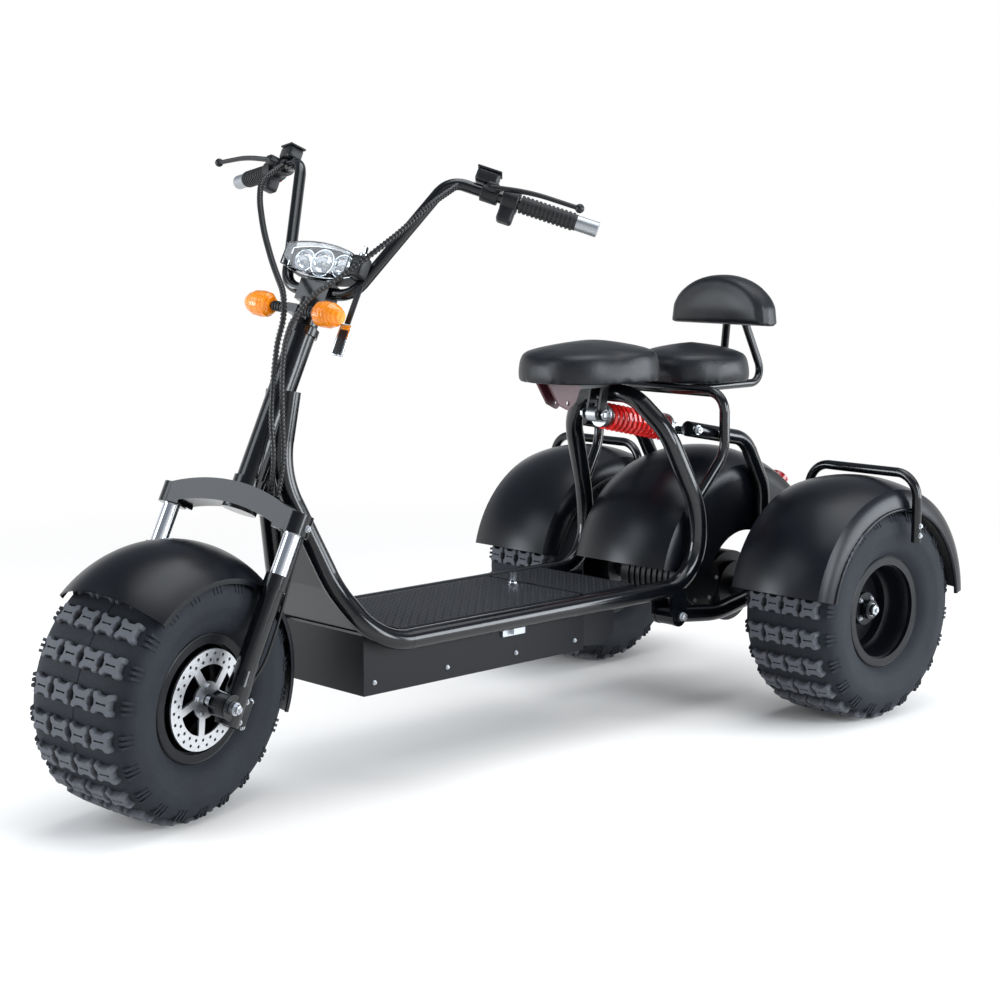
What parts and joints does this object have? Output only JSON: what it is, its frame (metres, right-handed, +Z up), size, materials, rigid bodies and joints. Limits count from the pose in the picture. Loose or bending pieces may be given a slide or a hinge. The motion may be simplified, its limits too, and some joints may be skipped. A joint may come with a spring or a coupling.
{
  "type": "electric three-wheel scooter",
  "caption": "Fat-tyre electric trike with a raked fork, high handlebar, low deck over its battery, driver and passenger saddles with a backrest, and fendered rear wheels.",
  "frame": {"origin": "centre of the bounding box on the floor", "axes": "+Y to the rear, -Y the front, +X the rider's left, +Z up"},
  "size_m": [1.0604, 1.9722, 1.1755],
  "materials": {
    "frame_paint": "gloss black powder coat",
    "box_paint": "satin black paint",
    "moulding": "satin black moulding",
    "vinyl": "grained black vinyl",
    "mat": "ribbed rubber sheet",
    "grip": "soft rubber",
    "tyre": "dusty black tread rubber",
    "rim_paint": "satin black paint",
    "disc": "ground steel",
    "chrome": "polished",
    "zinc": "zinc plate",
    "castings": "black coated casting",
    "motor": "dark coated casting",
    "damper": "satin",
    "spring": "gloss red powder coat",
    "bracket": "dark red paint",
    "case": "fine grain",
    "pack": "shrink sleeve",
    "clear": "clear ribbed lens",
    "amber": "clear amber",
    "red_lens": "clear red",
    "wrap": "spiral wrap"
  },
  "bodies": {
    "chassis": {"head_tube": "frame_paint", "main_frame": "frame_paint", "leg_shield": "frame_paint", "deck_crossbar": "frame_paint", "battery_box": "box_paint", "battery_pack": "pack", "rear_deck": "box_paint", "rear_mat": "mat", "controller_box": "case", "pivot_brackets": "frame_paint", "swing_arm": "frame_paint", "rear_axle": "castings", "drive_motor": "motor", "shock_body": "damper", "shock_coil": "spring", "centre_fender": "moulding", "rear_fenders": "moulding", "fender_brackets": "frame_paint", "driver_saddle": "vinyl", "saddle_bracket": "bracket", "passenger_saddle": "vinyl", "passenger_frame": "frame_paint", "backrest_pad": "vinyl", "tail_lamp": "red_lens", "brake_equaliser": "zinc"},
    "deck_lid": {"deck_lid": "box_paint", "deck_mat": "mat", "lid_lock": "chrome"},
    "steering": {"fork_crown": "frame_paint", "stanchions": "chrome", "sliders": "frame_paint", "front_axle": "zinc", "front_fender": "moulding", "brake_caliper": "castings", "bar_clamp": "frame_paint", "handlebar": "frame_paint", "grips": "grip", "bar_ends": "chrome", "brake_levers": "castings", "switch_pods": "case", "headlight_body": "case", "headlight_lens": "clear", "key_switch": "case", "signal_stalks": "grip", "signal_lenses": "amber", "cables": "wrap"},
    "front_wheel": {"front_tyre": "tyre", "front_rim": "rim_paint", "front_disc": "disc"},
    "rear_wheel_left": {"rear_tyre_left": "tyre", "rear_rim_left": "rim_paint"},
    "rear_wheel_right": {"rear_tyre_right": "tyre", "rear_rim_right": "rim_paint"}
  },
  "joints": [
    {"name": "steering_turn", "type": "hinge", "parent": "chassis", "child": "steering", "pos_m": [0, -0.72309, 0.21755], "axis": [0, 0.4321, 0.9018], "range_deg": [-54.6, 25.4]},
    {"name": "front_wheel_spin", "type": "hinge", "parent": "steering", "child": "front_wheel", "pos_m": [0.00857, -0.75276, 0.23176], "axis": [0.9677, 0.2273, -0.1089], "continuous": true},
    {"name": "rear_left_spin", "type": "hinge", "parent": "chassis", "child": "rear_wheel_left", "pos_m": [0.383, 0.70625, 0.22766], "axis": [1, 0, 0], "continuous": true},
    {"name": "rear_right_spin", "type": "hinge", "parent": "chassis", "child": "rear_wheel_right", "pos_m": [-0.383, 0.70625, 0.22766], "axis": [1, 0, 0], "continuous": true},
    {"name": "deck_lid_hinge", "type": "hinge", "parent": "chassis", "child": "deck_lid", "pos_m": [0, -0.33575, 0.28675], "axis": [1, 0, 0], "range_deg": [0, 75]}
  ]
}
